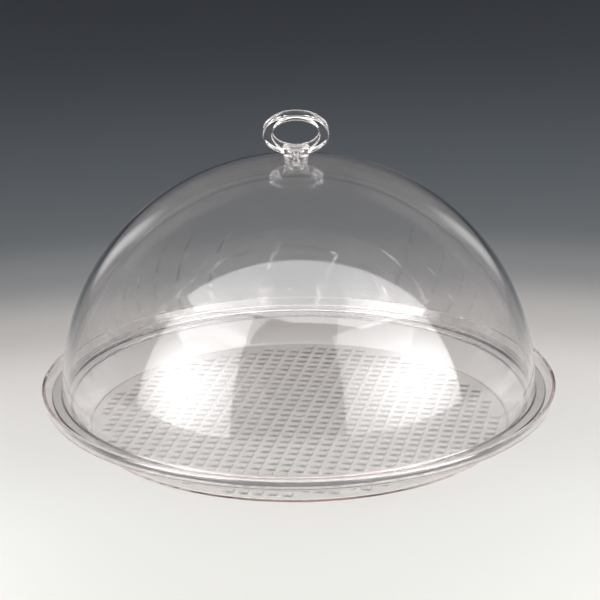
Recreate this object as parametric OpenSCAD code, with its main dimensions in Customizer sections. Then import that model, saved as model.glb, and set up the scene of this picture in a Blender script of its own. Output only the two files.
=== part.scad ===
// Clear buffet food cover: a domed cover with a ring handle, standing in a round serving tray.
// Millimetres, +Z up. The origin is the centre of the tray's underside, and the ring faces -Y.
// Everything is laid out from the dome: the tray is sized to carry it and the handle sits on its crown.

/* [Dome] */
// Outside diameter of the dome above the flange round its foot
dome_d = 368; // [320:1:420]
// Wall thickness of the dome
dome_wall = 3; // [2:0.1:5]
// Height of the upright band at the foot of the dome
band_h = 6; // [5.2:0.1:30]
// Rise of the curved part, from the band to the crown
dome_rise = 179.5; // [120:0.5:220]
// How far the flange round the foot stands out from the wall
flange_out = 8; // [4:0.1:12]
// Thickness of that flange
flange_t = 3.8; // [2:0.1:4.7]
// Sloping shoulder between the flange and the wall
flange_cove = 1.2; // [0.5:0.1:2]
// Ring of flat crown left free round the handle's foot
crown_margin = 2; // [1:0.1:6]

/* [Tray] */
// Gap between the dome's flange and the foot of the tray's lip
dome_play = 3; // [1:0.5:12]
// Strip of ledge left free inside the dome's wall
ledge_inset = 5; // [0.5:0.1:8]
// Height of the lip above the ledge
lip_h = 8.5; // [4:0.5:16]
// How far the lip leans outwards over its height
lip_lean = 2; // [1:0.1:8]
// Height of the ledge above the underside of the tray
ledge_z = 24.5; // [14:0.5:40]
// How far the wall runs inwards from the ledge to the floor
wall_run = 12.5; // [6:0.5:30]
// Thickness of the wall, ledge and lip
tray_wall = 2.6; // [1.5:0.1:4]
// Thickness of the floor
floor_t = 3; // [2:0.1:5]

/* [Handle] */
// Width of the ring over its outside
ring_w = 50; // [42:0.5:70]
// Height of the ring over its outside
ring_h = 31.5; // [26:0.5:50]
// Thickness of the ring at its two sides
ring_side = 7.3; // [5:0.1:10]
// Thickness of the ring at its top and bottom
ring_bar = 4.6; // [4:0.1:7]
// Depth of the ring from front to back
ring_depth = 18; // [14:0.5:26]
// Diameter of the neck under the ring
neck_d = 17.5; // [14:0.5:24]
// Height of the neck, from its foot to the lowest point of the ring
neck_h = 5.5; // [4:0.1:14]
// How far the neck runs out into the ring on each side
flare_w = 6; // [3:0.1:8]
// Depth of that run-out from front to back
flare_depth = 12; // [8:0.5:14]

/* [Fastening] */
// Diameter of the screw's shank
screw_d = 6; // [4:0.1:8]
// Diameter of the screw's head
head_d = 12; // [10:0.1:16]
// Height of the screw's head
head_h = 3.6; // [2.5:0.1:6]
// Width of the slot across the head
slot_w = 1.6; // [0.8:0.1:3]
// Depth of the slot across the head
slot_depth = 1.4; // [0.5:0.1:2]
// Diameter of the washer under the head
washer_d = 16; // [13:0.5:22]
// Thickness of the washer under the head
washer_t = 1.2; // [0.6:0.1:3]
// Thickness of the gasket under the handle's foot
gasket_t = 1; // [0.5:0.1:3]
// Room round the shank in the crown, gasket and washer
hole_play = 0.3; // [0.1:0.05:0.6]
// Room round the shank in the neck's blind hole
thread_play = 0.05; // [0.02:0.01:0.2]
// Plastic left between the blind hole and the ring's opening
bore_roof = 2.4; // [1:0.1:4]
// Room between the screw's tip and the end of the blind hole
tip_gap = 0.6; // [0.2:0.1:2]

/* [Hidden] */
$fn = 180;

// Straight pieces in a quarter of the dome's curve, and in the whole of the ring's oval
dome_steps = 48;
oval_steps = 96;
flare_steps = 12;
// How far a cut runs past the face that it opens
overrun = 1;

dome_r = dome_d / 2;
neck_r = neck_d / 2;
hole_r = screw_d / 2 + hole_play;
bore_r = screw_d / 2 + thread_play;

// Tray, from the ledge that carries the dome's foot
ledge_r = dome_r - dome_wall - ledge_inset;
floor_r = ledge_r - wall_run;
wall_angle = atan((ledge_z - floor_t) / wall_run);
lip_angle = atan(lip_h / lip_lean);
lip_foot_r = dome_r + flange_out + dome_play;
lip_top_r = lip_foot_r + lip_lean;
tray_r = lip_top_r + tray_wall / sin(lip_angle);
tray_h = ledge_z + lip_h;
wall_turn = tray_wall * tan(wall_angle / 2);
lip_turn = tray_wall * tan(lip_angle / 2);
under_r = ledge_r + wall_turn - (ledge_z - tray_wall) / tan(wall_angle);

// Crown, from the flats on both faces of the dome
band_top_z = ledge_z + band_h;
crown_r = max(neck_r, washer_d / 2) + crown_margin;
seat_z = band_top_z + oval_height(dome_r, dome_rise, crown_r);
inner_flat_z = band_top_z + oval_height(dome_r - dome_wall, dome_rise - dome_wall, crown_r);

// Handle, from its foot on the gasket
foot_z = seat_z + gasket_t;
ring_bottom_z = foot_z + neck_h;
ring_z = ring_bottom_z + ring_h / 2;
opening_w = ring_w - 2 * ring_side;
opening_h = ring_h - 2 * ring_bar;
flare_r = neck_r + flare_w;
flare_top_z = ring_z - oval_height(ring_w / 2, ring_h / 2, flare_r);
bore_top_z = ring_bottom_z + ring_bar - bore_roof;

// Screw, from the flat inside the crown
washer_z = inner_flat_z - washer_t;
screw_tip_z = bore_top_z - tip_gap;

// Height of an upright oval of half width a and half height c at the distance x from its axis
function oval_height(a, c, x) = c * sqrt(1 - pow(x / a, 2));

// Points of a quarter oval above the height z, from its widest place to its top
function quarter(a, c, z) =
    [for (i = [0:dome_steps]) let (t = 90 * i / dome_steps) [a * cos(t), z + c * sin(t)]];

// Points of a whole oval of the width w and the height h
function oval(w, h) =
    [for (i = [0:oval_steps - 1]) let (t = 360 * i / oval_steps) [w / 2 * cos(t), h / 2 * sin(t)]];

// Points of one side of the neck's run-out, from the neck up into the ring
function flare(side) =
    [for (i = [0:flare_steps]) let (t = 90 * i / flare_steps)
        [side * (flare_r - flare_w * cos(t)), foot_z + (flare_top_z - foot_z) * sin(t)]];

function reversed(points) = [for (i = [len(points) - 1:-1:0]) points[i]];

// Stands an outline drawn in X and Z upright and gives it the depth, centred on the XZ plane
module upright(depth) {
    rotate([90, 0, 0]) translate([0, 0, -depth / 2]) linear_extrude(depth) children();
}

module tray() {
    color("gainsboro", 0.4)
    rotate_extrude() polygon([
        [0, 0],
        [under_r, 0],
        [ledge_r + wall_turn, ledge_z - tray_wall],
        [lip_foot_r + lip_turn, ledge_z - tray_wall],
        [tray_r, tray_h],
        [lip_top_r, tray_h],
        [lip_foot_r, ledge_z],
        [ledge_r, ledge_z],
        [floor_r, floor_t],
        [0, floor_t]
    ]);
}

module dome() {
    inner_r = dome_r - dome_wall;
    inner_rise = dome_rise - dome_wall;
    flange_z = ledge_z + flange_t;
    color("gainsboro", 0.3)
    difference() {
        union() {
            rotate_extrude() polygon(concat(
                [
                    [inner_r, ledge_z],
                    [dome_r + flange_out, ledge_z],
                    [dome_r + flange_out, flange_z],
                    [dome_r + flange_cove, flange_z],
                    [dome_r, flange_z + flange_cove]
                ],
                quarter(dome_r, dome_rise, band_top_z),
                reversed(quarter(inner_r, inner_rise, band_top_z))
            ));
            translate([0, 0, inner_flat_z]) cylinder(r = crown_r, h = seat_z - inner_flat_z);
        }
        translate([0, 0, seat_z]) cylinder(r = crown_r + overrun, h = dome_wall);
        translate([0, 0, inner_flat_z - overrun]) cylinder(r = hole_r, h = dome_wall + 2 * overrun);
    }
}

module handle_gasket() {
    color("whitesmoke", 0.5)
    translate([0, 0, seat_z]) difference() {
        cylinder(r = neck_r, h = gasket_t);
        translate([0, 0, -overrun]) cylinder(r = hole_r, h = gasket_t + 2 * overrun);
    }
}

module handle() {
    color("gainsboro", 0.45)
    difference() {
        union() {
            upright(ring_depth) translate([0, ring_z]) polygon(oval(ring_w, ring_h));
            upright(flare_depth) polygon(concat(flare(1), reversed(flare(-1))));
            translate([0, 0, foot_z]) cylinder(r = neck_r, h = neck_h + ring_bar);
        }
        upright(ring_depth + 2 * overrun) translate([0, ring_z]) polygon(oval(opening_w, opening_h));
        translate([0, 0, foot_z - overrun]) cylinder(r = bore_r, h = bore_top_z - foot_z + overrun);
    }
}

module screw_washer() {
    color("whitesmoke", 0.5)
    translate([0, 0, washer_z]) difference() {
        cylinder(d = washer_d, h = washer_t);
        translate([0, 0, -overrun]) cylinder(r = hole_r, h = washer_t + 2 * overrun);
    }
}

module handle_screw() {
    color("whitesmoke", 0.5)
    difference() {
        union() {
            translate([0, 0, washer_z - head_h]) cylinder(d = head_d, h = head_h);
            translate([0, 0, washer_z]) cylinder(d = screw_d, h = screw_tip_z - washer_z);
        }
        translate([-head_d / 2 - overrun, -slot_w / 2, washer_z - head_h - overrun])
            cube([head_d + 2 * overrun, slot_w, slot_depth + overrun]);
    }
}

tray();
dome();
handle_gasket();
handle();
screw_washer();
handle_screw();
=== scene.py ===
"""Clear domed food cover with a ring handle, standing in its clear serving tray.

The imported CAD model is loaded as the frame. Every CAD node is replaced by a finished mesh of the
same size in the same place, with rounded edges, the tray's moulded waffle and the screw's thread.
"""
from __future__ import annotations

import logging
import math
from dataclasses import dataclass
from enum import Enum
from typing import Callable, Sequence

import bmesh
import bpy
from mathutils import Matrix, Vector

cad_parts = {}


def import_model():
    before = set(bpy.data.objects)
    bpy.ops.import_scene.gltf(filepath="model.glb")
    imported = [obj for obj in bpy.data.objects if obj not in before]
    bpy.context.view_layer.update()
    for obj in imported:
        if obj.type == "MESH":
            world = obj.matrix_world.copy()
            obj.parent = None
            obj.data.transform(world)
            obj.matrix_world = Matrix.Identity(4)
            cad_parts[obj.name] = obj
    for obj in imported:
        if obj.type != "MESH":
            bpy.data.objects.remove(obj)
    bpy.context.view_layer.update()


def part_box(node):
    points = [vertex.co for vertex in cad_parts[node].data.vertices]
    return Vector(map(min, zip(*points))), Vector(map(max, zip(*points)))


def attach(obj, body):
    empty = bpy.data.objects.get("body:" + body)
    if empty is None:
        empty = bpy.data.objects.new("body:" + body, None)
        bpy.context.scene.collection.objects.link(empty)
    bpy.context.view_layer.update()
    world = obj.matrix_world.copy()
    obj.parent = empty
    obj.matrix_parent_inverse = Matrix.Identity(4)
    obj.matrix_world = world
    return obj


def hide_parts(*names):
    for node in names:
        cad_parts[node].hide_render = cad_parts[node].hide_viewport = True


LOG = logging.getLogger("food_cover")
MM = 0.001
# Air left between two clear faces that rest on each other, so that neither hides the other
SEAT_GAP = 0.03 * MM
# How far the flange round the dome's foot stands out from the wall
FLANGE_OUT = 8.0 * MM
MERGE_DISTANCE = 0.002 * MM
# How much of the hairlines goes into the roughness, and of the dust into the colour
HAIRLINE_SHARE = 0.12
DUST_SHARE = 0.25
DUST_SHADE = 0.9
# Wear at which a surface is as dull as its smears, and the depth of its ripples
FULL_WEAR = 1.6
RIPPLE_DEPTH = 1.0 * MM

Point = tuple[float, float]
Place = tuple[float, float, float]
Colour = tuple[float, float, float]


class Body(Enum):
    """The two rigid bodies of the frame."""

    TRAY = "tray"
    COVER = "cover"


class Slot(Enum):
    """The material slots of the record."""

    DOME = "dome_clear"
    TRAY = "tray_clear"
    HANDLE = "handle_clear"
    FASTENING = "fastening_clear"
    GASKET = "gasket_clear"


class Pick(Enum):
    """What a selection in edit mode is made of."""

    VERTS = "VERT"
    EDGES = "EDGE"
    FACES = "FACE"


# Modelling helpers


def deselect_everything() -> None:
    """Leaves edit mode and clears the selection."""
    active = bpy.context.view_layer.objects.active
    if active is not None and active.mode != "OBJECT":
        bpy.ops.object.mode_set(mode="OBJECT")
    bpy.ops.object.select_all(action="DESELECT")


def make_active(obj: bpy.types.Object) -> None:
    """Selects one object alone and makes it the active one."""
    deselect_everything()
    obj.select_set(True)
    bpy.context.view_layer.objects.active = obj


def begin_edit(obj: bpy.types.Object, select: bool = True) -> None:
    """Opens an object in edit mode.

    Args:
        obj: The object to edit.
        select: True to start with everything selected, False with nothing.
    """
    make_active(obj)
    bpy.ops.object.mode_set(mode="EDIT")
    bpy.ops.mesh.select_mode(type=Pick.VERTS.value)
    bpy.ops.mesh.select_all(action="SELECT" if select else "DESELECT")


def end_edit() -> None:
    """Goes back to object mode."""
    bpy.ops.object.mode_set(mode="OBJECT")


def select_by(obj: bpy.types.Object, pick: Pick, test: Callable[..., bool]) -> None:
    """Selects vertices, edges or faces of the edited object by a test.

    Args:
        obj: The object in edit mode.
        pick: The kind of element that is tested.
        test: Says whether a bmesh element is selected.
    """
    bpy.ops.mesh.select_mode(type=pick.value)
    bpy.ops.mesh.select_all(action="DESELECT")
    mesh = bmesh.from_edit_mesh(obj.data)
    layers = {Pick.VERTS: mesh.verts, Pick.EDGES: mesh.edges, Pick.FACES: mesh.faces}
    for element in [element for element in layers[pick] if test(element)]:
        element.select_set(True)
    mesh.select_flush_mode()
    bmesh.update_edit_mesh(obj.data)


def close_up(obj: bpy.types.Object) -> None:
    """Merges doubled vertices and turns every face outwards."""
    begin_edit(obj)
    bpy.ops.mesh.remove_doubles(threshold=MERGE_DISTANCE)
    bpy.ops.mesh.normals_make_consistent(inside=False)
    end_edit()


def finish_with(obj: bpy.types.Object, kind: str, **settings: object) -> None:
    """Adds a modifier with these settings and applies it."""
    make_active(obj)
    modifier = obj.modifiers.new(kind.lower(), kind)
    for name, value in settings.items():
        setattr(modifier, name, value)
    bpy.ops.object.modifier_apply(modifier=modifier.name)


def cut_out(obj: bpy.types.Object, cutter: bpy.types.Object) -> None:
    """Takes the cutter's space out of an object and deletes the cutter."""
    finish_with(obj, "BOOLEAN", operation="DIFFERENCE", solver="EXACT", object=cutter)
    bpy.data.objects.remove(cutter, do_unlink=True)


def smooth_faces(obj: bpy.types.Object, angle: float = 40.0) -> None:
    """Shades an object smooth, apart from edges sharper than the angle in degrees."""
    make_active(obj)
    bpy.ops.object.shade_smooth_by_angle(angle=math.radians(angle))


@dataclass(frozen=True)
class Corner:
    """A corner of an upright outline: its radius from the axis, its height and its rounding."""

    r: float
    z: float
    rounding: float = 0.0
    steps: int = 6


def round_outline(corners: Sequence[Corner], hold: float = 0.3 * MM) -> list[Point]:
    """Turns corners into points of an open outline with true arcs.

    Args:
        corners: The corners in order. The first and last stay sharp.
        hold: Distance of the extra points that keep a straight run flat next to an arc.

    Returns:
        The outline's points as (radius, height).
    """
    points = [Vector((corners[0].r, corners[0].z))]
    for before, corner, after in zip(corners, corners[1:], corners[2:]):
        here = Vector((corner.r, corner.z))
        back = (Vector((before.r, before.z)) - here).normalized()
        ahead = (Vector((after.r, after.z)) - here).normalized()
        if corner.rounding <= 0:
            points.append(here)
            continue
        half = math.acos(max(-1.0, min(1.0, back.dot(ahead)))) / 2
        reach = corner.rounding / math.tan(half)
        centre = here + (back + ahead).normalized() * corner.rounding / math.sin(half)
        first, last = here + back * reach - centre, here + ahead * reach - centre
        sweep = math.atan2(first.cross(last), first.dot(last))
        if (here + back * reach - points[-1]).length > 3 * hold:
            points.append(here + back * (reach + hold))
        for step in range(corner.steps + 1):
            points.append(centre + Matrix.Rotation(sweep * step / corner.steps, 2) @ first)
        points.append(here + ahead * (reach + hold))
    points.append(Vector((corners[-1].r, corners[-1].z)))
    return [(point.x, point.y) for point in points]


def oval_arc(
    half_w: float, half_h: float, z: float, start: float, end: float, steps: int
) -> list[Point]:
    """Points along an upright oval about the axis.

    Args:
        half_w: Half the oval's width.
        half_h: Half the oval's height.
        z: Height of the oval's middle.
        start: Angle above the horizontal where the arc starts, in radians.
        end: Angle where the arc ends.
        steps: Number of straight pieces.

    Returns:
        The arc's points as (radius, height).
    """
    angles = [start + (end - start) * step / steps for step in range(steps + 1)]
    return [(half_w * math.cos(angle), z + half_h * math.sin(angle)) for angle in angles]


def trace_outline(name: str, points: Sequence[Point]) -> bpy.types.Object:
    """Draws an outline in the XZ plane by extruding one vertex from point to point.

    Args:
        name: The new object's name.
        points: The outline's points as (radius, height).

    Returns:
        The object that holds the outline.
    """
    deselect_everything()
    bpy.ops.mesh.primitive_plane_add(size=MM)
    obj = bpy.context.object
    obj.name = obj.data.name = name
    begin_edit(obj)
    bpy.ops.mesh.merge(type="CENTER")
    bpy.ops.transform.translate(value=(points[0][0], 0, points[0][1]))
    for start, end in zip(points, points[1:]):
        step = (end[0] - start[0], 0, end[1] - start[1])
        bpy.ops.mesh.extrude_region_move(TRANSFORM_OT_translate={"value": step})
    end_edit()
    return obj


def turn_solid(name: str, points: Sequence[Point], steps: int) -> bpy.types.Object:
    """Turns an outline about the upright axis, as on a lathe.

    Args:
        name: The new object's name.
        points: The outline's points as (radius, height).
        steps: Number of faces round the axis.

    Returns:
        The turned object, with its faces outwards where the outline is closed.
    """
    obj = trace_outline(name, points)
    begin_edit(obj)
    bpy.ops.mesh.spin(steps=steps, angle=2 * math.pi, center=(0, 0, 0), axis=(0, 0, 1))
    end_edit()
    close_up(obj)
    return obj


def join_into(obj: bpy.types.Object, *others: bpy.types.Object) -> None:
    """Joins other objects into one."""
    make_active(obj)
    for other in others:
        other.select_set(True)
    bpy.ops.object.join()


def hand_over(
    obj: bpy.types.Object, node: str, body: Body, material: bpy.types.Material
) -> None:
    """Dresses a finished piece and puts it in its CAD node's place.

    Args:
        obj: The finished piece, in the row frame.
        node: The CAD node that it stands for.
        body: The body that it rides on.
        material: The finish it wears.
    """
    obj.data.materials.clear()
    obj.data.materials.append(material)
    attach(obj, body.value)
    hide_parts(node)
    LOG.info("%s: %d faces, on %s", obj.name, len(obj.data.polygons), body.value)


# Finishes


class NodeSheet:
    """Lays out shader nodes in one node tree."""

    def __init__(self, tree: bpy.types.NodeTree) -> None:
        """Starts on an empty tree."""
        self.tree = tree
        tree.nodes.clear()

    def add(self, kind: str, **settings: object) -> bpy.types.Node:
        """Adds a node and sets its properties.

        Args:
            kind: The node's type, without the ShaderNode prefix.
            settings: Properties of the node.

        Returns:
            The new node.
        """
        prefix = "" if kind.startswith("NodeGroup") else "ShaderNode"
        node = self.tree.nodes.new(prefix + kind)
        for name, value in settings.items():
            setattr(node, name, value)
        return node

    def feed(self, node: bpy.types.Node, **values: object) -> bpy.types.Node:
        """Links or sets a node's inputs by name, with _ for a space, or by number as in0.

        Args:
            node: The node whose inputs are fed.
            values: A socket to link, or a plain value.

        Returns:
            The same node.
        """
        for name, value in values.items():
            numbered = name.startswith("in") and name[2:].isdigit()
            socket = node.inputs[int(name[2:]) if numbered else name.replace("_", " ")]
            if isinstance(value, bpy.types.NodeSocket):
                self.tree.links.new(value, socket)
            else:
                socket.default_value = value
        return node

    def maths(self, operation: str, first: object, second: object = 0.0) -> bpy.types.NodeSocket:
        """Adds a Math node and returns its result."""
        node = self.feed(self.add("Math", operation=operation), in0=first, in1=second)
        return node.outputs[0]

    def spread(
        self, value: object, low: float, high: float, to_low: float, to_high: float
    ) -> bpy.types.NodeSocket:
        """Adds a smooth Map Range node and returns its result."""
        node = self.add("MapRange", interpolation_type="SMOOTHSTEP")
        self.feed(node, in0=value, in1=low, in2=high, in3=to_low, in4=to_high)
        return node.outputs[0]


def new_group(
    name: str, inputs: dict[str, float], outputs: Sequence[str]
) -> tuple[bpy.types.NodeTree, NodeSheet]:
    """Makes an empty shader node group.

    Args:
        name: The group's name.
        inputs: Its number inputs with their defaults; a Vector input always comes first.
        outputs: Its number outputs.

    Returns:
        The group's tree and a sheet to lay its nodes on.
    """
    tree = bpy.data.node_groups.new(name, "ShaderNodeTree")
    tree.interface.new_socket("Vector", in_out="INPUT", socket_type="NodeSocketVector")
    for label, value in inputs.items():
        socket = tree.interface.new_socket(label, in_out="INPUT", socket_type="NodeSocketFloat")
        socket.default_value = value
    for label in outputs:
        tree.interface.new_socket(label, in_out="OUTPUT", socket_type="NodeSocketFloat")
    return tree, NodeSheet(tree)


def make_handling_group() -> bpy.types.NodeTree:
    """Builds the group of soft smears, hairlines and dust that handled clear plastic carries.

    Returns:
        A group with the outputs Smear, Hairlines and Dust, each from 0 to 1.
    """
    scales = {"Smear Scale": 9.0, "Hairline Scale": 60.0}
    tree, sheet = new_group("handling_marks", scales, ("Smear", "Hairlines", "Dust"))
    entry, leave = sheet.add("NodeGroupInput"), sheet.add("NodeGroupOutput")
    place = entry.outputs["Vector"]
    broad = sheet.feed(sheet.add("TexNoise"), Vector=place, Scale=entry.outputs["Smear Scale"], Detail=3.0)
    smear = sheet.spread(broad.outputs[0], 0.46, 0.72, 0.0, 1.0)
    # Each set of hairlines is turned by an angle and drawn out along one axis
    sets = ((0.35, (1.0, 0.03, 0.4)), (-0.8, (0.04, 1.0, 0.5)), (1.9, (0.5, 0.05, 1.0)))
    lines = []
    for turn, stretch in sets:
        mapping = sheet.feed(
            sheet.add("Mapping"), Vector=place, Rotation=(turn, turn * 0.6, turn), Scale=stretch
        )
        streak = sheet.feed(
            sheet.add("TexNoise"),
            Vector=mapping.outputs[0], Scale=entry.outputs["Hairline Scale"], Detail=1.0, Distortion=0.15,
        )
        lines.append(sheet.spread(streak.outputs[0], 0.66, 0.74, 0.0, 1.0))
    hairlines = sheet.maths("MAXIMUM", sheet.maths("MAXIMUM", lines[0], lines[1]), lines[2])
    specks = sheet.feed(sheet.add("TexVoronoi"), Vector=place, Scale=420.0)
    dust = sheet.spread(specks.outputs["Distance"], 0.05, 0.16, 1.0, 0.0)
    sheet.feed(leave, Smear=smear, Hairlines=hairlines, Dust=dust)
    return tree


def make_ripple_group() -> bpy.types.NodeTree:
    """Builds the group of slow swells and fine flow of a formed or moulded clear sheet.

    Returns:
        A group with the output Height.
    """
    scales = {"Swell Scale": 14.0, "Flow Scale": 70.0, "Flow Share": 0.15}
    tree, sheet = new_group("moulding_ripple", scales, ("Height",))
    entry, leave = sheet.add("NodeGroupInput"), sheet.add("NodeGroupOutput")
    place = entry.outputs["Vector"]
    swell = sheet.feed(sheet.add("TexNoise"), Vector=place, Scale=entry.outputs["Swell Scale"], Detail=1.0)
    flow = sheet.feed(
        sheet.add("TexNoise"), Vector=place, Scale=entry.outputs["Flow Scale"], Detail=2.0, Distortion=0.6
    )
    fine = sheet.maths("MULTIPLY", flow.outputs[0], entry.outputs["Flow Share"])
    sheet.feed(leave, Height=sheet.maths("ADD", swell.outputs[0], fine))
    return tree


@dataclass(frozen=True)
class ClearFinish:
    """A clear plastic: what it lets through, how glossy it is and how evenly it was formed."""

    name: str
    ior: float
    # Roughness where the surface is clean and where it is smeared
    gloss: float
    smear_gloss: float
    smear_scale: float
    ripple: float
    ripple_scale: float
    # What the thickness of the plastic takes from the light
    depth_colour: Colour
    depth_density: float
    tint: Colour = (1.0, 1.0, 1.0)
    # Colour of the light that falls through onto other things
    shade: Colour = (1.0, 1.0, 1.0)
    # Light that runs on inside a wall is let out after so many faces, where real plastic scatters it
    run_length: float = 12.5
    # Strength of the reflections, where 0.5 is what the refraction alone gives
    shine: float = 0.5

    def material(self, handling: bpy.types.NodeTree, ripple: bpy.types.NodeTree) -> bpy.types.Material:
        """Builds the finish.

        Args:
            handling: The group of smears, hairlines and dust.
            ripple: The group of swells and flow.

        Returns:
            The new material.
        """
        material = bpy.data.materials.new(self.name)
        material.use_nodes = True
        sheet = NodeSheet(material.node_tree)
        place = sheet.add("TexCoord").outputs["Object"]
        marks = sheet.add("Group", node_tree=handling)
        sheet.feed(marks, Vector=place, Smear_Scale=self.smear_scale)
        scratches = sheet.maths("MULTIPLY", marks.outputs["Hairlines"], HAIRLINE_SHARE)
        worn = sheet.maths("ADD", marks.outputs["Smear"], scratches)
        rough = sheet.spread(worn, 0.0, FULL_WEAR, self.gloss, self.smear_gloss)
        waves = sheet.add("Group", node_tree=ripple)
        sheet.feed(waves, Vector=place, Swell_Scale=self.ripple_scale, Flow_Scale=self.ripple_scale * 5)
        bump = sheet.feed(
            sheet.add("Bump"), Height=waves.outputs["Height"], Strength=self.ripple, Distance=RIPPLE_DEPTH
        )
        film = sheet.feed(
            sheet.add("Mix", data_type="RGBA"),
            in0=sheet.maths("MULTIPLY", marks.outputs["Dust"], DUST_SHARE),
            in6=(*self.tint, 1.0), in7=(*(DUST_SHADE * part for part in self.tint), 1.0),
        )
        plastic = sheet.feed(
            sheet.add("BsdfPrincipled"),
            Base_Color=film.outputs[2], Roughness=rough, Normal=bump.outputs[0],
            IOR=self.ior, Specular_IOR_Level=self.shine, Transmission_Weight=1.0,
        )
        # Light that falls through the plastic onto what stands behind it goes straight on
        straight = sheet.feed(sheet.add("BsdfTransparent"), Color=(*self.shade, 1.0))
        path = sheet.add("LightPath")
        falling = sheet.maths("MAXIMUM", path.outputs["Is Shadow Ray"], path.outputs["Is Diffuse Ray"])
        caught = sheet.maths("GREATER_THAN", path.outputs["Ray Depth"], self.run_length)
        mix = sheet.feed(
            sheet.add("MixShader"), in0=sheet.maths("MAXIMUM", falling, caught),
            in1=plastic.outputs[0], in2=straight.outputs[0],
        )
        depth = sheet.feed(
            sheet.add("VolumeAbsorption"), Color=(*self.depth_colour, 1.0), Density=self.depth_density
        )
        sheet.feed(sheet.add("OutputMaterial"), Surface=mix.outputs[0], Volume=depth.outputs[0])
        return material


CLEAR_DOME = ClearFinish(
    name="clear_dome", ior=1.585, gloss=0.0, smear_gloss=0.05, smear_scale=9.0,
    ripple=0.035, ripple_scale=12.0, depth_colour=(0.96, 0.88, 0.87), depth_density=22.0,
)
CLEAR_TRAY = ClearFinish(
    name="clear_tray", ior=1.55, gloss=0.01, smear_gloss=0.08, smear_scale=16.0,
    ripple=0.02, ripple_scale=20.0, depth_colour=(0.96, 0.88, 0.87), depth_density=22.0,
)
CLEAR_HANDLE = ClearFinish(
    name="clear_handle", ior=1.52, gloss=0.0, smear_gloss=0.06, smear_scale=60.0,
    ripple=0.03, ripple_scale=60.0, depth_colour=(0.94, 0.9, 0.89), depth_density=30.0,
    run_length=9.5, shine=0.85,
)
CLEAR_FASTENING = ClearFinish(
    name="clear_fastening", ior=1.12, gloss=0.03, smear_gloss=0.12, smear_scale=90.0,
    ripple=0.03, ripple_scale=90.0, depth_colour=(0.94, 0.92, 0.9), depth_density=40.0,
)
CLEAR_GASKET = ClearFinish(
    name="clear_gasket", ior=1.15, gloss=0.12, smear_gloss=0.3, smear_scale=120.0,
    ripple=0.05, ripple_scale=120.0, depth_colour=(0.92, 0.92, 0.92), depth_density=60.0,
    tint=(0.97, 0.97, 0.97), shade=(0.9, 0.9, 0.9),
)


# Stage


@dataclass(frozen=True)
class SoftLight:
    """A rectangular studio light that looks at a point."""

    name: str
    place: Place
    target: Place
    width: float
    height: float
    radiance: float
    # Share of the cloth over which its edges fade out
    feather: float
    # A lamp behind the cloth: how much brighter it is there, and its place and size across the cloth
    core: float = 0.0
    core_place: Point = (0.5, 0.5)
    core_size: Point = (0.3, 0.3)
    # Straight cuts through the cloth: it is there where a * across + b * up + c is above 0
    trims: tuple[tuple[float, float, float], ...] = ()

    def hang(self) -> None:
        """Adds the light, with feathered edges and a bright core where a lamp stands behind the cloth."""
        data = bpy.data.lights.new(self.name, "AREA")
        data.shape, data.size, data.size_y = "RECTANGLE", self.width, self.height
        # An area light of this power has this radiance in Cycles
        data.energy = 4 * self.width * self.height * self.radiance
        data.use_nodes = True
        sheet = NodeSheet(data.node_tree)
        spot = sheet.add("NewGeometry").outputs["Parametric"]
        across = sheet.feed(sheet.add("SeparateXYZ"), in0=spot)
        spread: object = 0.0
        for axis in (0, 1):
            offset = sheet.maths("SUBTRACT", across.outputs[axis], self.core_place[axis])
            ratio = sheet.maths("DIVIDE", offset, self.core_size[axis])
            spread = sheet.maths("SUBTRACT", spread, sheet.maths("MULTIPLY", ratio, ratio))
        glow_share = sheet.maths("MULTIPLY", sheet.maths("EXPONENT", spread), self.core)
        strength: object = sheet.maths("ADD", glow_share, 1.0)
        for axis in (0, 1):
            middle = sheet.maths("ABSOLUTE", sheet.maths("SUBTRACT", across.outputs[axis], 0.5))
            fade = sheet.spread(middle, 0.5 - self.feather / 2, 0.5, 1.0, 0.0)
            strength = sheet.maths("MULTIPLY", fade, strength)
        for along, up, offset in self.trims:
            share = sheet.maths("MULTIPLY", across.outputs[0], along)
            side = sheet.maths("ADD", share, sheet.maths("MULTIPLY", across.outputs[1], up))
            kept = sheet.spread(side, -offset, self.feather - offset, 0.0, 1.0)
            strength = sheet.maths("MULTIPLY", kept, strength)
        glow = sheet.feed(sheet.add("Emission"), Strength=strength)
        sheet.feed(sheet.add("OutputLight"), in0=glow.outputs[0])
        lamp = bpy.data.objects.new(self.name, data)
        bpy.context.scene.collection.objects.link(lamp)
        aim = Vector(self.target) - Vector(self.place)
        lamp.rotation_euler = aim.to_track_quat("-Z", "Y").to_euler()
        lamp.location = self.place
        lamp.visible_camera = False


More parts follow.
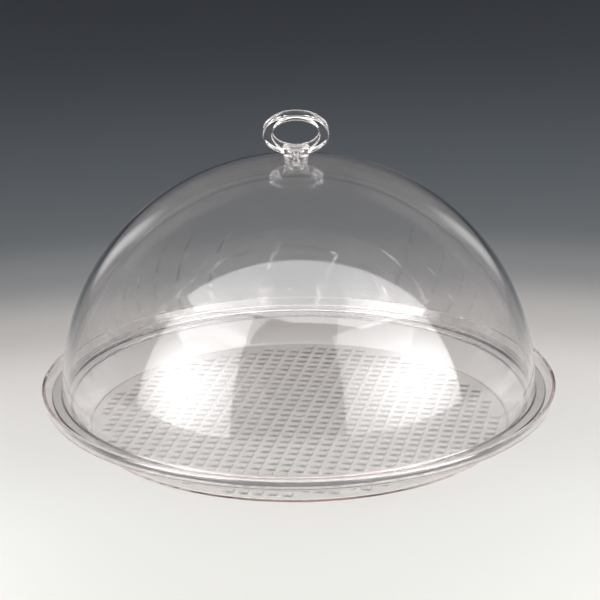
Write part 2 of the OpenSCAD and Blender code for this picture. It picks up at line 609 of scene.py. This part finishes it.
@dataclass
class Stage:
    """The studio: camera, table, surroundings and lights."""

    camera_distance: float = 2.0
    camera_elevation: float = 21.05
    camera_roll: float = -0.65
    lens: float = 153.6
    # The camera goes round the middle of the tray's rim and looks a little above it
    rim_height: float = 0.028
    aim_height: float = 0.098
    camera_aside: float = 1.7 * MM
    table_radius: float = 2.4
    table_drop: float = 0.4 * MM
    # Painted light: the table is painted palest round this point in front of the tray, where the tent's
    # light pools, and painted darker away from it as the light falls off
    painted_light_spot: Place = (0.03, -0.45, 0.0)
    painted_falloff_reach: float = 2.0
    # Painted light: the paper is painted a shade paler towards the right, where more light falls
    painted_side_light_reach: float = 0.6
    painted_side_light: float = 0.06
    # The surroundings are paler at the horizon than higher up
    surroundings: Colour = (0.085, 0.088, 0.095)
    low_glow: float = 1.3
    high_glow: float = 0.75
    high_from: float = 0.5
    light_bounces: int = 40
    see_through_bounces: int = 64

    def build(self) -> None:
        """Builds the whole studio."""
        self.set_camera()
        self.lay_table()
        self.set_world()
        self.hang_lights()
        scene = bpy.context.scene
        scene.view_settings.view_transform = "Standard"
        scene.cycles.max_bounces = self.light_bounces
        scene.cycles.transmission_bounces = self.light_bounces
        scene.cycles.glossy_bounces = self.light_bounces
        scene.cycles.transparent_max_bounces = self.see_through_bounces
        scene.cycles.caustics_reflective = False
        scene.cycles.caustics_refractive = False

    def set_camera(self) -> None:
        """Places the camera at the photograph's viewing angle."""
        data = bpy.data.cameras.new("camera")
        data.lens, data.sensor_width = self.lens, 36.0
        camera = bpy.data.objects.new("camera", data)
        bpy.context.scene.collection.objects.link(camera)
        height = math.radians(self.camera_elevation)
        reach = Vector((0, -math.cos(height), math.sin(height))) * self.camera_distance
        stand = Vector((self.camera_aside, 0, self.rim_height)) + reach
        aim = Vector((self.camera_aside, 0, self.aim_height)) - stand
        turn = aim.to_track_quat("-Z", "Y").to_matrix().to_4x4()
        roll = Matrix.Rotation(math.radians(self.camera_roll), 4, "Z")
        camera.matrix_world = Matrix.Translation(stand) @ turn @ roll
        bpy.context.scene.camera = camera

    def lay_table(self) -> None:
        """Lays the plain table under the tray, with the pool of light and its falloff painted on: pale in
        front and slate grey far away.
        """
        deselect_everything()
        bpy.ops.mesh.primitive_circle_add(
            vertices=96, radius=self.table_radius, fill_type="NGON", location=(0, 0, -self.table_drop)
        )
        table = bpy.context.object
        table.name = table.data.name = "table"
        material = bpy.data.materials.new("table_paper")
        material.use_nodes = True
        sheet = NodeSheet(material.node_tree)
        place = sheet.add("TexCoord").outputs["Object"]
        reach = sheet.add("VectorMath", operation="DISTANCE")
        sheet.feed(reach, in0=place, in1=self.painted_light_spot)
        # Painted light: the ramp paints the pool of light in front of the tray and its falloff into the
        # paper's colour
        ramp = sheet.add("ValToRGB")
        ramp.color_ramp.interpolation = "EASE"
        self.paint_falloff(ramp.color_ramp)
        sheet.feed(ramp, Fac=sheet.maths("DIVIDE", reach.outputs["Value"], self.painted_falloff_reach))
        sideways = sheet.feed(sheet.add("SeparateXYZ"), in0=place)
        # Painted light: the paper is painted paler towards the right, where more of the lamps' light falls
        level = sheet.spread(
            sideways.outputs[0], -self.painted_side_light_reach, self.painted_side_light_reach, 1 - self.painted_side_light, 1 + self.painted_side_light
        )
        painted_light_colour = sheet.add("VectorMath", operation="SCALE")
        sheet.feed(painted_light_colour, in0=ramp.outputs[0], Scale=level)
        fibre = sheet.feed(sheet.add("TexNoise"), Vector=place, Scale=900.0, Detail=2.0)
        bump = sheet.feed(sheet.add("Bump"), Height=fibre.outputs[0], Strength=0.05, Distance=0.5 * MM)
        paper = sheet.feed(
            sheet.add("BsdfPrincipled"),
            Base_Color=painted_light_colour.outputs[0], Roughness=0.75, Normal=bump.outputs[0],
        )
        sheet.feed(sheet.add("OutputMaterial"), Surface=paper.outputs[0])
        table.data.materials.append(material)

    @staticmethod
    def paint_falloff(ramp: bpy.types.ColorRamp) -> None:
        """Paints the pool of light and its falloff into the table's colours, from pale to slate, by the
        share of the ramp's reach.
        """
        stops = (
            (0.11, (0.685, 0.68, 0.65)),
            (0.20, (0.715, 0.71, 0.683)),
            (0.30, (0.815, 0.788, 0.76)),
            (0.357, (0.685, 0.66, 0.636)),
            (0.422, (0.415, 0.42, 0.425)),
            (0.49, (0.28, 0.305, 0.323)),
            (0.60, (0.272, 0.303, 0.33)),
            (0.88, (0.213, 0.232, 0.273)),
        )
        while len(ramp.elements) < len(stops):
            ramp.elements.new(1.0)
        for element, (position, colour) in zip(ramp.elements, stops):
            element.position = position
            element.color = (*colour, 1.0)

    def set_world(self) -> None:
        """Gives the studio its dim slate surroundings, a little paler low down."""
        world = bpy.data.worlds.new("studio")
        bpy.context.scene.world = world
        world.use_nodes = True
        sheet = NodeSheet(world.node_tree)
        upward = sheet.feed(sheet.add("SeparateXYZ"), in0=sheet.add("TexCoord").outputs["Generated"])
        level = sheet.spread(upward.outputs[2], 0.0, self.high_from, self.low_glow, self.high_glow)
        glow = sheet.feed(sheet.add("Background"), Color=(*self.surroundings, 1.0), Strength=level)
        sheet.feed(sheet.add("OutputWorld"), Surface=glow.outputs[0])

    @staticmethod
    def hang_lights() -> None:
        """Hangs a light tent, with a flap on each side of the camera and a roof, and two strips behind."""
        middle = (0.0, 0.0, 0.08)
        lights = (
            SoftLight(
                "left_flap", (-0.634, -0.407, 0.36), (-0.244, 0.513, 0.36), 0.763, 0.81, 1.3, 0.03,
                core=3.1, core_place=(0.55, 0.34), core_size=(0.38, 0.34),
            ),
            SoftLight(
                "right_flap", (0.67, -0.545, 0.405), (0.057, 0.245, 0.405), 0.962, 0.83, 1.1, 0.03,
                core=3.7, core_place=(0.63, 0.346), core_size=(0.42, 0.38),
            ),
            # The roof ends where it meets the two flaps
            SoftLight(
                "roof", (0.15, -0.41, 0.76), (0.15, -0.41, 0.0), 1.8, 0.48, 2.1, 0.03,
                trims=((0.764, 0.48, -0.292), (-1.397, 0.48, 0.997)),
            ),
            SoftLight("left_strip", (-0.95, 1.45, 0.35), middle, 0.4, 0.9, 0.6, 0.8),
            SoftLight("right_strip", (0.95, 1.45, 0.35), middle, 0.4, 0.9, 0.5, 0.8),
        )
        for light in lights:
            light.hang()


# The object


@dataclass
class ServingTray:
    """The clear tray: waffled floor, sloping wall, ledge and raised lip."""

    wall: float = 2.6 * MM
    floor_rise: float = 3.0 * MM
    ledge_z: float = 24.5 * MM
    ledge_inset: float = 8.0 * MM
    wall_run: float = 12.5 * MM
    lip_lean: float = 2.0 * MM
    groove_depth: float = 0.6 * MM
    pad_pitch: float = 10.85 * MM
    pad_width: float = 8.0 * MM
    pad_draft: float = 0.92
    pad_corner: float = 0.9 * MM
    pad_rounding: float = 0.28 * MM
    waffle_turn: float = -11.6
    spot_width: float = 10.2 * MM
    rim_rounding: float = 0.6 * MM
    foot_rounding: float = 1.5 * MM
    shelf_rounding: float = 2.0 * MM
    lip_rounding: float = 3.0 * MM
    lip_foot_rounding: float = 0.7 * MM
    ledge_rounding: float = 1.2 * MM
    floor_rounding: float = 3.0 * MM
    # Plain floor left inside the wall's foot, and between that and the outermost cells
    floor_margin: float = 0.5 * MM
    cell_margin: float = 0.6 * MM
    # The spot's edge rises in steps: share of the groove's depth, and width against the step before
    spot_steps: tuple[Point, ...] = ((0.7, 0.97), (0.3, 0.94))
    smooth_angle: float = 35.0
    steps: int = 240

    def build(self, finish: bpy.types.Material) -> bpy.types.Object:
        """Builds and dresses the tray.

        Args:
            finish: The tray's clear plastic.

        Returns:
            The finished tray.
        """
        high, dome_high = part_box("tray")[1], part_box("dome")[1]
        outline, flat_r = self.outline(high.x, high.z, dome_high.x - FLANGE_OUT)
        tray = turn_solid("serving_tray", outline, self.steps)
        join_into(tray, self.waffle(flat_r))
        self.fill_rim(tray)
        close_up(tray)
        smooth_faces(tray, self.smooth_angle)
        hand_over(tray, "tray", Body.TRAY, finish)
        return tray

    def outline(self, rim_r: float, rim_z: float, dome_r: float) -> tuple[list[Point], float]:
        """Works out the tray's turned outline, from the middle of the underside to the floor's edge.

        Args:
            rim_r: The tray's outside radius.
            rim_z: The lip's height.
            dome_r: Outside radius of the dome's wall, which stands on the ledge.

        Returns:
            The outline, and the radius at which the flat floor ends.
        """
        lip_slope = math.atan2(rim_z - self.ledge_z, self.lip_lean)
        lip_top = rim_r - self.wall / math.sin(lip_slope)
        lip_foot = lip_top - self.lip_lean
        ledge_r = dome_r - self.ledge_inset
        slope = math.atan2(self.ledge_z - self.floor_rise, self.wall_run)
        turn_in = self.wall * math.tan(slope / 2)
        turn_out = self.wall * math.tan(lip_slope / 2)
        shelf_z = self.ledge_z - self.wall
        groove_z = self.floor_rise - self.groove_depth
        under_r = ledge_r + turn_in - shelf_z / math.tan(slope)
        floor_r = ledge_r - (self.ledge_z - groove_z) / math.tan(slope)
        flat_r = floor_r - self.floor_rounding * math.tan(slope / 2) - self.floor_margin
        corners = (
            Corner(0.0, 0.0),
            Corner(under_r, 0.0, self.foot_rounding, 8),
            Corner(ledge_r + turn_in, shelf_z, self.shelf_rounding, 8),
            Corner(lip_foot + turn_out, shelf_z, self.lip_rounding, 8),
            Corner(rim_r + self.rim_reach(lip_slope), rim_z, self.rim_rounding, 14),
            Corner(lip_top, rim_z, self.rim_rounding, 10),
            Corner(lip_foot, self.ledge_z, self.lip_foot_rounding, 8),
            Corner(ledge_r, self.ledge_z, self.ledge_rounding, 8),
            Corner(floor_r, groove_z, self.floor_rounding),
            Corner(flat_r, groove_z),
        )
        return round_outline(corners), flat_r

    def rim_reach(self, slope: float) -> float:
        """How far the rim's corner stands out past its rounding, for the lip's slope in radians."""
        return self.rim_rounding * (1 / math.tan(slope / 2) - 1)

    def waffle(self, flat_r: float) -> bpy.types.Object:
        """Models one pad in its cell, copies it over the floor and trims the copies to the floor.

        Args:
            flat_r: Radius of the flat floor.

        Returns:
            The sheet of whole cells, at the height of the grooves.
        """
        cell = self.pad_cell()
        reach = int(flat_r / self.pad_pitch)
        count = 2 * reach + 1
        for axis in ((1, 0, 0), (0, 1, 0)):
            finish_with(
                cell, "ARRAY", count=count, use_relative_offset=False, use_constant_offset=True,
                constant_offset_displace=Vector(axis) * self.pad_pitch, use_merge_vertices=True,
                merge_threshold=MERGE_DISTANCE,
            )
        half = self.pad_pitch / 2

        def outside(face: bmesh.types.BMFace) -> bool:
            """Says whether a face is in the middle cell or in one that runs past the floor."""
            middle = face.calc_center_median()
            column, row = round(middle.x / self.pad_pitch), round(middle.y / self.pad_pitch)
            far = Vector((abs(column) * self.pad_pitch + half, abs(row) * self.pad_pitch + half))
            return far.length > flat_r - self.cell_margin or (column == 0 and row == 0)

        begin_edit(cell)
        shift = -reach * self.pad_pitch
        bpy.ops.transform.translate(value=(shift, shift, 0))
        select_by(cell, Pick.FACES, outside)
        bpy.ops.mesh.delete(type="FACE")
        end_edit()
        self.add_spot(cell)
        make_active(cell)
        cell.rotation_euler.z = math.radians(self.waffle_turn)
        cell.location.z = self.floor_rise - self.groove_depth
        bpy.ops.object.transform_apply(location=True, rotation=True, scale=True)
        return cell

    def pad_cell(self) -> bpy.types.Object:
        """Models one square cell of the waffle, with a rounded pad in its middle.

        Returns:
            The cell, flat at its edge.
        """
        deselect_everything()
        bpy.ops.mesh.primitive_plane_add(size=self.pad_pitch)
        cell = bpy.context.object
        cell.name = cell.data.name = "waffle"
        begin_edit(cell)
        bpy.ops.mesh.select_mode(type=Pick.FACES.value)
        bpy.ops.mesh.inset(thickness=(self.pad_pitch - self.pad_width) / 2)
        bpy.ops.mesh.extrude_region_move(TRANSFORM_OT_translate={"value": (0, 0, self.groove_depth)})
        bpy.ops.transform.resize(
            value=(self.pad_draft, self.pad_draft, 1), center_override=(0, 0, self.groove_depth)
        )
        tall = self.groove_depth * 0.9
        select_by(cell, Pick.EDGES, lambda edge: abs(edge.verts[0].co.z - edge.verts[1].co.z) > tall)
        bpy.ops.mesh.bevel(offset=self.pad_corner, segments=2, affect="EDGES")
        select_by(cell, Pick.EDGES, lambda edge: min(vert.co.z for vert in edge.verts) > tall)
        bpy.ops.mesh.bevel(offset=self.pad_rounding, segments=2, affect="EDGES")
        end_edit()
        return cell

    def add_spot(self, waffle: bpy.types.Object) -> None:
        """Puts the plain round moulding spot in the middle cell, which was left open."""
        deselect_everything()
        bpy.ops.mesh.primitive_circle_add(vertices=32, radius=self.spot_width / 2, fill_type="NOTHING")
        spot = bpy.context.object
        begin_edit(spot)
        for share, size in self.spot_steps:
            lift = self.groove_depth * share
            bpy.ops.mesh.extrude_region_move(TRANSFORM_OT_translate={"value": (0, 0, lift)})
            bpy.ops.transform.resize(value=(size, size, 1), center_override=(0, 0, 0))
        bpy.ops.mesh.edge_face_add()
        bpy.ops.mesh.inset(thickness=self.spot_width * 0.2)
        end_edit()
        join_into(waffle, spot)
        begin_edit(waffle)
        near = self.pad_pitch * 0.72
        select_by(
            waffle, Pick.EDGES,
            lambda edge: edge.is_boundary and all(vert.co.xy.length < near for vert in edge.verts),
        )
        bpy.ops.mesh.fill(use_beauty=True)
        end_edit()

    @staticmethod
    def fill_rim(tray: bpy.types.Object) -> None:
        """Fills the plain strip between the outermost cells and the foot of the wall."""
        begin_edit(tray)
        select_by(tray, Pick.EDGES, lambda edge: edge.is_boundary)
        bpy.ops.mesh.fill(use_beauty=True)
        end_edit()


@dataclass
class DomeCover:
    """The clear dome: flanged foot, upright band, oval curve and drilled flat crown."""

    wall: float = 3.0 * MM
    band_h: float = 6.0 * MM
    flange_t: float = 3.8 * MM
    flange_cove: float = 1.2 * MM
    flange_rounding: float = 1.0 * MM
    foot_rounding: float = 0.5 * MM
    crown_r: float = 10.75 * MM
    hole_r: float = 3.3 * MM
    hole_rounding: float = 0.3 * MM
    # Share of the band's height at which the foot's outline meets the curve
    band_share: float = 0.995
    smooth_angle: float = 35.0
    curve_steps: int = 72
    steps: int = 240

    def build(self, finish: bpy.types.Material) -> bpy.types.Object:
        """Builds and dresses the dome.

        Args:
            finish: The dome's clear plastic.

        Returns:
            The finished dome.
        """
        low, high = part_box("dome")
        outline = self.outline(low.z, high.x - FLANGE_OUT, high.z)
        dome = turn_solid("dome_cover", outline, self.steps)
        smooth_faces(dome, self.smooth_angle)
        hand_over(dome, "dome", Body.COVER, finish)
        return dome

    def outline(self, foot_z: float, outer_r: float, seat_z: float) -> list[Point]:
        """Works out the dome's closed outline.

        Args:
            foot_z: Height of the foot's underside.
            outer_r: Outside radius of the wall.
            seat_z: Height of the flat crown.

        Returns:
            The outline, which ends where it starts.
        """
        inner_r = outer_r - self.wall
        foot = foot_z + SEAT_GAP
        curve_z = foot_z + self.band_h
        share = self.crown_r / outer_r
        rise = (seat_z - curve_z) / math.sqrt(1 - share**2)
        inner_rise = rise - self.wall
        outer_end, inner_end = math.acos(share), math.acos(self.crown_r / inner_r)
        inner_flat = curve_z + inner_rise * math.sin(inner_end)
        mid_z = foot_z + self.band_h * self.band_share
        mid_crown = (self.crown_r + self.hole_r) / 2
        edge_r = outer_r + FLANGE_OUT
        flange_z = foot_z + self.flange_t
        foot_part = round_outline((
            Corner(inner_r, mid_z),
            Corner(inner_r, foot, self.foot_rounding, 5),
            Corner(edge_r, foot, self.flange_rounding, 10),
            Corner(edge_r, flange_z, self.flange_rounding, 10),
            Corner(outer_r, flange_z, self.flange_cove, 10),
            Corner(outer_r, mid_z),
        ))
        crown_part = round_outline((
            Corner(mid_crown, seat_z),
            Corner(self.hole_r, seat_z, self.hole_rounding, 3),
            Corner(self.hole_r, inner_flat, self.hole_rounding, 3),
            Corner(mid_crown, inner_flat),
        ), hold=0.1 * MM)
        outside = oval_arc(outer_r, rise, curve_z, 0.0, outer_end, self.curve_steps)
        inside = oval_arc(inner_r, inner_rise, curve_z, inner_end, 0.0, self.curve_steps)
        return [*foot_part, *outside, *crown_part, *inside, foot_part[0]]


@dataclass
class RingHandle:
    """The clear handle: an oval ring of flat band on a short round neck."""

    side: float = 7.3 * MM
    bar: float = 4.6 * MM
    neck_r: float = 8.75 * MM
    neck_h: float = 5.5 * MM
    rounding: float = 1.2 * MM
    bore_r: float = 3.05 * MM
    bore_roof: float = 2.4 * MM
    bore_tip: float = 0.6 * MM
    # Half the part of the ring's round that the neck grows from, in degrees
    neck_angle: float = 22.5
    # Its faces are picked with a little to spare sideways, up to the rounded edges and from the lowest part
    patch_spare: float = 1.02
    patch_edge: float = 0.9
    patch_low: float = 0.6
    patch_down: float = -0.7
    # The neck's levels: height above the foot, share of the neck's radius, and 1 for a full round
    neck_levels: tuple[tuple[float, float, float], ...] = (
        (4.2 * MM, 1.16, 0.5), (2.4 * MM, 1.04, 0.9), (0.7 * MM, 1.04, 1.0),
        (0.0, 1.04, 1.0), (0.0, 0.9, 1.0),
    )
    smooth_angle: float = 45.0
    cage_steps: int = 32
    smooth_levels: int = 3

    def build(self, finish: bpy.types.Material) -> bpy.types.Object:
        """Builds and dresses the handle.

        Args:
            finish: The handle's clear plastic.

        Returns:
            The finished handle.
        """
        low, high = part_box("handle")
        ring = self.ring_cage(low, high)
        self.grow_neck(ring, low, high)
        finish_with(
            ring, "SUBSURF", levels=self.smooth_levels, render_levels=self.smooth_levels,
            subdivision_type="CATMULL_CLARK",
        )
        self.drill(ring, low)
        smooth_faces(ring, self.smooth_angle)
        hand_over(ring, "handle", Body.COVER, finish)
        return ring

    def ring_cage(self, low: Vector, high: Vector) -> bpy.types.Object:
        """Models the coarse ring: a flat oval band with bevelled edges.

        Args:
            low: Lowest corner of the handle's box.
            high: Highest corner of the handle's box.

        Returns:
            The ring's cage.
        """
        half_w, depth = high.x, high.y - low.y
        half_h = (high.z - low.z - self.neck_h) / 2
        middle = high.z - half_h
        # A smoothed cage draws in from its corners by this share
        draw_in = (2 + math.cos(2 * math.pi / self.cage_steps)) / 3
        deselect_everything()
        bpy.ops.mesh.primitive_circle_add(
            vertices=self.cage_steps, radius=1.0, fill_type="NOTHING", rotation=(math.pi / 2, 0, 0)
        )
        ring = bpy.context.object
        ring.name = ring.data.name = "ring_handle"
        bpy.ops.object.transform_apply(location=True, rotation=True, scale=True)
        centre = (0.0, low.y, middle)
        begin_edit(ring)
        bpy.ops.transform.resize(value=(half_w / draw_in, 1, half_h / draw_in), center_override=(0, 0, 0))
        bpy.ops.transform.translate(value=centre)
        bpy.ops.mesh.extrude_region_move(TRANSFORM_OT_translate={"value": (0, 0, 0)})
        bpy.ops.transform.resize(
            value=((half_w - self.side) / half_w, 1, (half_h - self.bar) / half_h), center_override=centre
        )
        bpy.ops.mesh.select_all(action="SELECT")
        bpy.ops.mesh.extrude_region_move(TRANSFORM_OT_translate={"value": (0, depth, 0)})
        bpy.ops.mesh.select_all(action="SELECT")
        bpy.ops.mesh.normals_make_consistent(inside=False)
        select_by(ring, Pick.EDGES, lambda edge: self.along(edge, middle, half_w, half_h))
        bpy.ops.mesh.bevel(offset=self.rounding, segments=2, affect="EDGES", clamp_overlap=True)
        for cut in (-depth / 4, 0.0, depth / 4):
            bpy.ops.mesh.select_all(action="SELECT")
            bpy.ops.mesh.bisect(plane_co=(0, cut, 0), plane_no=(0, 1, 0))
        end_edit()
        return ring

    @staticmethod
    def along(edge: bmesh.types.BMEdge, middle: float, half_w: float, half_h: float) -> bool:
        """Says whether an edge runs along the ring and not across its face or its depth."""
        tolerance = 0.06
        ends = [math.hypot(vert.co.x / half_w, (vert.co.z - middle) / half_h) for vert in edge.verts]
        return abs(edge.verts[0].co.y - edge.verts[1].co.y) < MM and abs(ends[0] - ends[1]) < tolerance

    def grow_neck(self, ring: bpy.types.Object, low: Vector, high: Vector) -> None:
        """Grows the neck out of the ring's underside and rounds it to its foot.

        Args:
            ring: The ring's cage.
            low: Lowest corner of the handle's box.
            high: Highest corner of the handle's box.
        """
        half_w = high.x
        half_h = (high.z - low.z - self.neck_h) / 2
        reach_x = half_w * math.sin(math.radians(self.neck_angle)) * self.patch_spare
        reach_y = high.y - self.rounding * self.patch_edge
        top_z = high.z - half_h - half_h * self.patch_low

        def underside(face: bmesh.types.BMFace) -> bool:
            """Says whether a face is in the patch under the ring that becomes the neck."""
            spot = face.calc_center_median()
            inside = abs(spot.x) < reach_x and abs(spot.y) < reach_y and spot.z < top_z
            return inside and face.normal.z < self.patch_down

        foot = low.z + SEAT_GAP
        begin_edit(ring)
        select_by(ring, Pick.FACES, underside)
        for number, (rise, width, roundness) in enumerate(self.neck_levels):
            bpy.ops.mesh.extrude_region_move(TRANSFORM_OT_translate={"value": (0, 0, -0.1 * MM)})
            self.shape_level(ring, foot + rise, self.neck_r * width, roundness, number == 0)
        end_edit()

    @staticmethod
    def shape_level(ring: bpy.types.Object, z: float, radius: float, roundness: float, first: bool) -> None:
        """Moves the selected patch of faces to a level and rounds it from a square to a disc.

        Args:
            ring: The cage in edit mode, with the patch selected.
            z: The level's height.
            radius: The level's radius.
            roundness: 0 for a square, 1 for a disc.
            first: True where the patch still has the ring's own curve.
        """
        mesh = bmesh.from_edit_mesh(ring.data)
        verts = [vert for vert in mesh.verts if vert.select]
        half_x = max(abs(vert.co.x) for vert in verts)
        half_y = max(abs(vert.co.y) for vert in verts)
        layers = mesh.verts.layers.float_vector
        layer = layers.get("patch") or layers.new("patch")
        for vert in [vert for vert in mesh.verts if vert.select]:
            if first:
                vert[layer] = Vector((vert.co.x / half_x, vert.co.y / half_y, 0))
            u, v = vert[layer].xy
            disc = Vector((u * math.sqrt(1 - v * v / 2), v * math.sqrt(1 - u * u / 2)))
            flat = Vector((u, v)).lerp(disc, roundness) * radius
            vert.co = (flat.x, flat.y, z)
        bmesh.update_edit_mesh(ring.data)

    def drill(self, ring: bpy.types.Object, low: Vector) -> None:
        """Drills the blind hole for the screw up into the neck."""
        start, tip = low.z - MM, low.z + self.neck_h + self.bar - self.bore_roof
        outline = [(0.0, start), (self.bore_r, start), (self.bore_r, tip - self.bore_tip), (0.0, tip)]
        cut_out(ring, turn_solid("bore", outline, 48))


@dataclass
class Fastening:
    """The clear fastening under the crown: gasket, washer and slotted screw."""

    screw_r: float = 3.0 * MM
    hole_r: float = 3.3 * MM
    head_h: float = 3.6 * MM
    slot_w: float = 1.6 * MM
    slot_depth: float = 1.4 * MM
    thread_pitch: float = 1.0 * MM
    thread_depth: float = 0.5 * MM
    # Plain shank at both ends of the thread, and how far the tip tapers
    plain_run: float = 0.8 * MM
    tip_taper: float = 0.7 * MM
    gasket_rounding: float = 0.35 * MM
    washer_rounding: float = 0.3 * MM
    # Share of a flat ring's rounding at the edges of its hole
    hole_share: float = 0.6
    head_rounding: float = 1.5 * MM
    seat_rounding: float = 0.4 * MM
    shank_fillet: float = 0.25 * MM
    thread_steps: int = 8
    steps: int = 64

    def build(self, plastic: bpy.types.Material, silicone: bpy.types.Material) -> None:
        """Builds and dresses the three pieces.

        Args:
            plastic: The finish of screw and washer.
            silicone: The finish of the gasket.
        """
        gasket = self.flat_ring("handle_gasket", self.gasket_rounding)
        hand_over(gasket, "handle_gasket", Body.COVER, silicone)
        washer = self.flat_ring("screw_washer", self.washer_rounding)
        hand_over(washer, "screw_washer", Body.COVER, plastic)
        screw = self.screw()
        hand_over(screw, "handle_screw", Body.COVER, plastic)

    def flat_ring(self, node: str, rounding: float) -> bpy.types.Object:
        """Turns a flat ring with rounded edges in the place of a CAD node.

        Args:
            node: The CAD node, which gives the ring's outside and height.
            rounding: Radius of its edges.

        Returns:
            The flat ring.
        """
        low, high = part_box(node)
        bottom, top = low.z + SEAT_GAP, high.z - SEAT_GAP
        middle = (self.hole_r + high.x) / 2
        outline = round_outline((
            Corner(middle, bottom),
            Corner(high.x, bottom, rounding, 4),
            Corner(high.x, top, rounding, 4),
            Corner(self.hole_r, top, rounding * self.hole_share, 3),
            Corner(self.hole_r, bottom, rounding * self.hole_share, 3),
            Corner(middle, bottom),
        ), hold=0.1 * MM)
        ring = turn_solid(f"{node}_ring", outline, self.steps)
        smooth_faces(ring)
        return ring

    def screw(self) -> bpy.types.Object:
        """Turns the screw, presses its thread and cuts the slot in its head.

        Returns:
            The finished screw.
        """
        low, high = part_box("handle_screw")
        head_r = high.x
        seat = low.z + self.head_h - SEAT_GAP
        shank_z = seat + self.plain_run
        thread_end = high.z - self.plain_run
        head = round_outline((
            Corner(0.0, low.z),
            Corner(head_r, low.z, self.head_rounding),
            Corner(head_r, seat, self.seat_rounding, 3),
            Corner(self.screw_r, seat, self.shank_fillet, 3),
            Corner(self.screw_r, shank_z),
        ), hold=0.15 * MM)
        count = int((thread_end - shank_z) / self.thread_pitch * self.thread_steps)
        rise = (thread_end - shank_z) / count
        shank = [(self.screw_r, shank_z + rise * step) for step in range(1, count + 1)]
        tip = [(self.screw_r - self.tip_taper, high.z), (0.0, high.z)]
        screw = turn_solid("handle_screw_clear", [*head, *shank, *tip], self.steps)
        self.press_thread(screw, shank_z + self.plain_run, thread_end)
        deselect_everything()
        bpy.ops.mesh.primitive_cube_add(size=1.0, location=(0, 0, low.z))
        slot = bpy.context.object
        slot.scale = (3 * head_r, self.slot_w, 2 * self.slot_depth)
        bpy.ops.object.transform_apply(location=True, rotation=True, scale=True)
        cut_out(screw, slot)
        smooth_faces(screw)
        return screw

    def press_thread(self, screw: bpy.types.Object, start: float, end: float) -> None:
        """Draws the shank in along a helix, so that a thread stands between the grooves.

        Args:
            screw: The plain screw.
            start: Height where the thread starts.
            end: Height where it ends.
        """
        for vert in screw.data.vertices:
            radius = vert.co.xy.length
            if not start <= vert.co.z <= end or radius < self.screw_r * 0.9:
                continue
            turn = math.atan2(vert.co.y, vert.co.x) / (2 * math.pi)
            phase = (vert.co.z / self.thread_pitch - turn) % 1.0
            fade = min(1.0, (vert.co.z - start) / MM, (end - vert.co.z) / MM)
            depth = self.thread_depth * fade * min(1.0, 1.25 * abs(2 * phase - 1))
            vert.co.xy *= (radius - depth) / radius
        screw.data.update()


def main() -> None:
    """Loads the frame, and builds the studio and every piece."""
    logging.basicConfig(level=logging.INFO, format="%(name)s %(message)s")
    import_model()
    Stage().build()
    handling, ripple = make_handling_group(), make_ripple_group()
    ServingTray().build(CLEAR_TRAY.material(handling, ripple))
    DomeCover().build(CLEAR_DOME.material(handling, ripple))
    RingHandle().build(CLEAR_HANDLE.material(handling, ripple))
    Fastening().build(
        CLEAR_FASTENING.material(handling, ripple), CLEAR_GASKET.material(handling, ripple)
    )
    deselect_everything()


if __name__ == "__main__":
    main()
